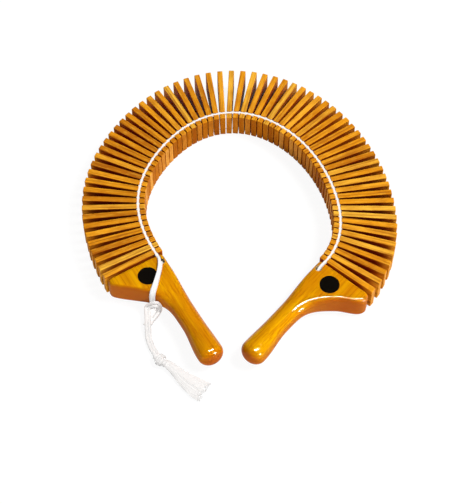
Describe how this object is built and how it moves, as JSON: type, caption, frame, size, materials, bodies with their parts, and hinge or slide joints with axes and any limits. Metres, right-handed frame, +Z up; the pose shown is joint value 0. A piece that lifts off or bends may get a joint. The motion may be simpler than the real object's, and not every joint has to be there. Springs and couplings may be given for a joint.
{
  "type": "kokiriko",
  "caption": "Kokiriko rattle: notched wooden slats strung on one white cord between two carved, lacquered handles, fanned out on a table, with a knotted cord tail and tassel.",
  "frame": {"origin": "middle of the plan box of the slats and handles, on the table that they lie on", "axes": "+Z up from the table, +Y from the handles towards the top of the arch, +X to the right seen from the handles"},
  "size_m": [0.328, 0.3934, 0.0358],
  "materials": {
    "slat_wood": "satin varnish, honey amber with a shade of its own on each slat",
    "handle_wood": "clear gloss lacquer over amber wood",
    "cord_cotton": "undyed white cotton"
  },
  "bodies": {
    "left_handle": {"left_handle": "handle_wood", "left_cord_turn": "cord_cotton", "cord_tail": "cord_cotton", "tail_tassel": "cord_cotton"},
    "slat_01": {"slat_01": "slat_wood"},
    "slat_02": {"slat_02": "slat_wood"},
    "slat_03_04": {"slat_03_04": "slat_wood"},
    "slat_05": {"slat_05": "slat_wood"},
    "slat_06": {"slat_06": "slat_wood"},
    "slat_07": {"slat_07": "slat_wood"},
    "slat_08_09": {"slat_08_09": "slat_wood"},
    "slat_10": {"slat_10": "slat_wood"},
    "slat_11": {"slat_11": "slat_wood"},
    "slat_12": {"slat_12": "slat_wood"},
    "slat_13_14": {"slat_13_14": "slat_wood"},
    "slat_15": {"slat_15": "slat_wood"},
    "slat_16": {"slat_16": "slat_wood"},
    "slat_17": {"slat_17": "slat_wood"},
    "slat_18_19": {"slat_18_19": "slat_wood"},
    "slat_20": {"slat_20": "slat_wood"},
    "slat_21": {"slat_21": "slat_wood"},
    "slat_22": {"slat_22": "slat_wood"},
    "slat_23_24": {"slat_23_24": "slat_wood"},
    "slat_25": {"slat_25": "slat_wood"},
    "slat_26": {"slat_26": "slat_wood"},
    "slat_27": {"slat_27": "slat_wood"},
    "slat_28_29": {"slat_28_29": "slat_wood"},
    "slat_30": {"slat_30": "slat_wood"},
    "slat_31": {"slat_31": "slat_wood"},
    "slat_32": {"slat_32": "slat_wood"},
    "slat_33_34": {"slat_33_34": "slat_wood"},
    "slat_35": {"slat_35": "slat_wood"},
    "slat_36": {"slat_36": "slat_wood"},
    "slat_37": {"slat_37": "slat_wood"},
    "slat_38_39": {"slat_38_39": "slat_wood"},
    "slat_40": {"slat_40": "slat_wood"},
    "slat_41": {"slat_41": "slat_wood"},
    "slat_42": {"slat_42": "slat_wood"},
    "slat_43_44": {"slat_43_44": "slat_wood"},
    "slat_45": {"slat_45": "slat_wood"},
    "slat_46": {"slat_46": "slat_wood"},
    "slat_47": {"slat_47": "slat_wood"},
    "slat_48_49": {"slat_48_49": "slat_wood"},
    "slat_50": {"slat_50": "slat_wood"},
    "slat_51": {"slat_51": "slat_wood"},
    "slat_52": {"slat_52": "slat_wood"},
    "slat_53_54": {"slat_53_54": "slat_wood"},
    "slat_55": {"slat_55": "slat_wood"},
    "slat_56": {"slat_56": "slat_wood"},
    "slat_57": {"slat_57": "slat_wood"},
    "slat_58_59": {"slat_58_59": "slat_wood"},
    "slat_60": {"slat_60": "slat_wood"},
    "slat_61": {"slat_61": "slat_wood"},
    "slat_62": {"slat_62": "slat_wood"},
    "slat_63_64": {"slat_63_64": "slat_wood"},
    "slat_65": {"slat_65": "slat_wood"},
    "slat_66": {"slat_66": "slat_wood"},
    "right_handle": {"right_handle": "handle_wood", "right_cord_turn": "cord_cotton"}
  },
  "joints": [
    {"name": "slat_01_turn", "type": "hinge", "parent": "left_handle", "child": "slat_01", "pos_m": [-0.08376, -0.06113, 0.01475], "axis": [0, 0, 1], "range_deg": [0, 1.9]},
    {"name": "slat_02_turn", "type": "hinge", "parent": "slat_01", "child": "slat_02", "pos_m": [-0.0875, -0.05474, 0.01475], "axis": [0, 0, 1], "range_deg": [0, 4.1]},
    {"name": "slat_03_04_turn", "type": "hinge", "parent": "slat_02", "child": "slat_03_04", "pos_m": [-0.09098, -0.04821, 0.01475], "axis": [0, 0, 1], "range_deg": [0, 4.2]},
    {"name": "slat_05_turn", "type": "hinge", "parent": "slat_03_04", "child": "slat_05", "pos_m": [-0.09704, -0.03471, 0.01475], "axis": [0, 0, 1], "range_deg": [0, 4.6]},
    {"name": "slat_06_turn", "type": "hinge", "parent": "slat_05", "child": "slat_06", "pos_m": [-0.09955, -0.02775, 0.01475], "axis": [0, 0, 1], "range_deg": [0, 4.8]},
    {"name": "slat_07_turn", "type": "hinge", "parent": "slat_06", "child": "slat_07", "pos_m": [-0.10166, -0.02066, 0.01475], "axis": [0, 0, 1], "range_deg": [0, 5.1]},
    {"name": "slat_08_09_turn", "type": "hinge", "parent": "slat_07", "child": "slat_08_09", "pos_m": [-0.10333, -0.01345, 0.01475], "axis": [0, 0, 1], "range_deg": [0, 5.3]},
    {"name": "slat_10_turn", "type": "hinge", "parent": "slat_08_09", "child": "slat_10", "pos_m": [-0.10515, 0.00123, 0.01475], "axis": [0, 0, 1], "range_deg": [0, 5.5]},
    {"name": "slat_11_turn", "type": "hinge", "parent": "slat_10", "child": "slat_11", "pos_m": [-0.10525, 0.00863, 0.01475], "axis": [0, 0, 1], "range_deg": [0, 5.5]},
    {"name": "slat_12_turn", "type": "hinge", "parent": "slat_11", "child": "slat_12", "pos_m": [-0.1048, 0.01601, 0.01475], "axis": [0, 0, 1], "range_deg": [0, 5.4]},
    {"name": "slat_13_14_turn", "type": "hinge", "parent": "slat_12", "child": "slat_13_14", "pos_m": [-0.10381, 0.02335, 0.01475], "axis": [0, 0, 1], "range_deg": [0, 5.3]},
    {"name": "slat_15_turn", "type": "hinge", "parent": "slat_13_14", "child": "slat_15", "pos_m": [-0.10028, 0.03771, 0.01475], "axis": [0, 0, 1], "range_deg": [0, 4.8]},
    {"name": "slat_16_turn", "type": "hinge", "parent": "slat_15", "child": "slat_16", "pos_m": [-0.09781, 0.04469, 0.01475], "axis": [0, 0, 1], "range_deg": [0, 4.6]},
    {"name": "slat_17_turn", "type": "hinge", "parent": "slat_16", "child": "slat_17", "pos_m": [-0.09494, 0.05151, 0.01475], "axis": [0, 0, 1], "range_deg": [0, 4.4]},
    {"name": "slat_18_19_turn", "type": "hinge", "parent": "slat_17", "child": "slat_18_19", "pos_m": [-0.09169, 0.05815, 0.01475], "axis": [0, 0, 1], "range_deg": [0, 4.2]},
    {"name": "slat_20_turn", "type": "hinge", "parent": "slat_18_19", "child": "slat_20", "pos_m": [-0.0842, 0.07091, 0.01475], "axis": [0, 0, 1], "range_deg": [0, 4.1]},
    {"name": "slat_21_turn", "type": "hinge", "parent": "slat_20", "child": "slat_21", "pos_m": [-0.07999, 0.077, 0.01475], "axis": [0, 0, 1], "range_deg": [0, 4.1]},
    {"name": "slat_22_turn", "type": "hinge", "parent": "slat_21", "child": "slat_22", "pos_m": [-0.0755, 0.08288, 0.01475], "axis": [0, 0, 1], "range_deg": [0, 4.3]},
    {"name": "slat_23_24_turn", "type": "hinge", "parent": "slat_22", "child": "slat_23_24", "pos_m": [-0.07071, 0.08853, 0.01475], "axis": [0, 0, 1], "range_deg": [0, 4.6]},
    {"name": "slat_25_turn", "type": "hinge", "parent": "slat_23_24", "child": "slat_25", "pos_m": [-0.06021, 0.09894, 0.01475], "axis": [0, 0, 1], "range_deg": [0, 5.2]},
    {"name": "slat_26_turn", "type": "hinge", "parent": "slat_25", "child": "slat_26", "pos_m": [-0.05447, 0.10362, 0.01475], "axis": [0, 0, 1], "range_deg": [0, 5.6]},
    {"name": "slat_27_turn", "type": "hinge", "parent": "slat_26", "child": "slat_27", "pos_m": [-0.04841, 0.10786, 0.01475], "axis": [0, 0, 1], "range_deg": [0, 6]},
    {"name": "slat_28_29_turn", "type": "hinge", "parent": "slat_27", "child": "slat_28_29", "pos_m": [-0.04202, 0.11159, 0.01475], "axis": [0, 0, 1], "range_deg": [0, 6.3]},
    {"name": "slat_30_turn", "type": "hinge", "parent": "slat_28_29", "child": "slat_30", "pos_m": [-0.02838, 0.11729, 0.01475], "axis": [0, 0, 1], "range_deg": [0, 6.7]},
    {"name": "slat_31_turn", "type": "hinge", "parent": "slat_30", "child": "slat_31", "pos_m": [-0.02121, 0.11914, 0.01475], "axis": [0, 0, 1], "range_deg": [0, 6.7]},
    {"name": "slat_32_turn", "type": "hinge", "parent": "slat_31", "child": "slat_32", "pos_m": [-0.0139, 0.12027, 0.01475], "axis": [0, 0, 1], "range_deg": [0, 6.7]},
    {"name": "slat_33_34_turn", "type": "hinge", "parent": "slat_32", "child": "slat_33_34", "pos_m": [-0.00651, 0.12067, 0.01475], "axis": [0, 0, 1], "range_deg": [0, 6.5]},
    {"name": "slat_35_turn", "type": "hinge", "parent": "slat_33_34", "child": "slat_35", "pos_m": [0.00821, 0.11928, 0.01475], "axis": [0, 0, 1], "range_deg": [0, 6.1]},
    {"name": "slat_36_turn", "type": "hinge", "parent": "slat_35", "child": "slat_36", "pos_m": [0.0154, 0.11756, 0.01475], "axis": [0, 0, 1], "range_deg": [0, 5.8]},
    {"name": "slat_37_turn", "type": "hinge", "parent": "slat_36", "child": "slat_37", "pos_m": [0.02242, 0.1152, 0.01475], "axis": [0, 0, 1], "range_deg": [0, 5.4]},
    {"name": "slat_38_39_turn", "type": "hinge", "parent": "slat_37", "child": "slat_38_39", "pos_m": [0.02921, 0.11226, 0.01475], "axis": [0, 0, 1], "range_deg": [0, 5.1]},
    {"name": "slat_40_turn", "type": "hinge", "parent": "slat_38_39", "child": "slat_40", "pos_m": [0.04202, 0.10488, 0.01475], "axis": [0, 0, 1], "range_deg": [0, 4.6]},
    {"name": "slat_41_turn", "type": "hinge", "parent": "slat_40", "child": "slat_41", "pos_m": [0.04801, 0.10053, 0.01475], "axis": [0, 0, 1], "range_deg": [0, 4.4]},
    {"name": "slat_42_turn", "type": "hinge", "parent": "slat_41", "child": "slat_42", "pos_m": [0.05372, 0.09581, 0.01475], "axis": [0, 0, 1], "range_deg": [0, 4.3]},
    {"name": "slat_43_44_turn", "type": "hinge", "parent": "slat_42", "child": "slat_43_44", "pos_m": [0.05913, 0.09077, 0.01475], "axis": [0, 0, 1], "range_deg": [0, 4.2]},
    {"name": "slat_45_turn", "type": "hinge", "parent": "slat_43_44", "child": "slat_45", "pos_m": [0.06907, 0.07981, 0.01475], "axis": [0, 0, 1], "range_deg": [0, 4.2]},
    {"name": "slat_46_turn", "type": "hinge", "parent": "slat_45", "child": "slat_46", "pos_m": [0.0736, 0.07396, 0.01475], "axis": [0, 0, 1], "range_deg": [0, 4.2]},
    {"name": "slat_47_turn", "type": "hinge", "parent": "slat_46", "child": "slat_47", "pos_m": [0.07784, 0.06789, 0.01475], "axis": [0, 0, 1], "range_deg": [0, 4.3]},
    {"name": "slat_48_49_turn", "type": "hinge", "parent": "slat_47", "child": "slat_48_49", "pos_m": [0.08178, 0.06163, 0.01475], "axis": [0, 0, 1], "range_deg": [0, 4.3]},
    {"name": "slat_50_turn", "type": "hinge", "parent": "slat_48_49", "child": "slat_50", "pos_m": [0.08882, 0.04861, 0.01475], "axis": [0, 0, 1], "range_deg": [0, 4.3]},
    {"name": "slat_51_turn", "type": "hinge", "parent": "slat_50", "child": "slat_51", "pos_m": [0.0919, 0.04189, 0.01475], "axis": [0, 0, 1], "range_deg": [0, 4.3]},
    {"name": "slat_52_turn", "type": "hinge", "parent": "slat_51", "child": "slat_52", "pos_m": [0.0947, 0.03504, 0.01475], "axis": [0, 0, 1], "range_deg": [0, 4.2]},
    {"name": "slat_53_54_turn", "type": "hinge", "parent": "slat_52", "child": "slat_53_54", "pos_m": [0.09722, 0.02808, 0.01475], "axis": [0, 0, 1], "range_deg": [0, 4.2]},
    {"name": "slat_55_turn", "type": "hinge", "parent": "slat_53_54", "child": "slat_55", "pos_m": [0.10135, 0.01387, 0.01475], "axis": [0, 0, 1], "range_deg": [0, 4.2]},
    {"name": "slat_56_turn", "type": "hinge", "parent": "slat_55", "child": "slat_56", "pos_m": [0.10294, 0.00664, 0.01475], "axis": [0, 0, 1], "range_deg": [0, 4.3]},
    {"name": "slat_57_turn", "type": "hinge", "parent": "slat_56", "child": "slat_57", "pos_m": [0.10417, -0.00065, 0.01475], "axis": [0, 0, 1], "range_deg": [0, 4.4]},
    {"name": "slat_58_59_turn", "type": "hinge", "parent": "slat_57", "child": "slat_58_59", "pos_m": [0.10501, -0.008, 0.01475], "axis": [0, 0, 1], "range_deg": [0, 4.5]},
    {"name": "slat_60_turn", "type": "hinge", "parent": "slat_58_59", "child": "slat_60", "pos_m": [0.10533, -0.02279, 0.01475], "axis": [0, 0, 1], "range_deg": [0, 4.9]},
    {"name": "slat_61_turn", "type": "hinge", "parent": "slat_60", "child": "slat_61", "pos_m": [0.10471, -0.03017, 0.01475], "axis": [0, 0, 1], "range_deg": [0, 5.1]},
    {"name": "slat_62_turn", "type": "hinge", "parent": "slat_61", "child": "slat_62", "pos_m": [0.1035, -0.03747, 0.01475], "axis": [0, 0, 1], "range_deg": [0, 5.4]},
    {"name": "slat_63_64_turn", "type": "hinge", "parent": "slat_62", "child": "slat_63_64", "pos_m": [0.10164, -0.04463, 0.01475], "axis": [0, 0, 1], "range_deg": [0, 5.6]},
    {"name": "slat_65_turn", "type": "hinge", "parent": "slat_63_64", "child": "slat_65", "pos_m": [0.09591, -0.05825, 0.01475], "axis": [0, 0, 1], "range_deg": [0, 6]},
    {"name": "slat_66_turn", "type": "hinge", "parent": "slat_65", "child": "slat_66", "pos_m": [0.09201, -0.06455, 0.01475], "axis": [0, 0, 1], "range_deg": [0, 6.1]},
    {"name": "right_handle_turn", "type": "hinge", "parent": "slat_66", "child": "right_handle", "pos_m": [0.08746, -0.07038, 0.01475], "axis": [0, 0, 1], "range_deg": [0, 3]}
  ]
}
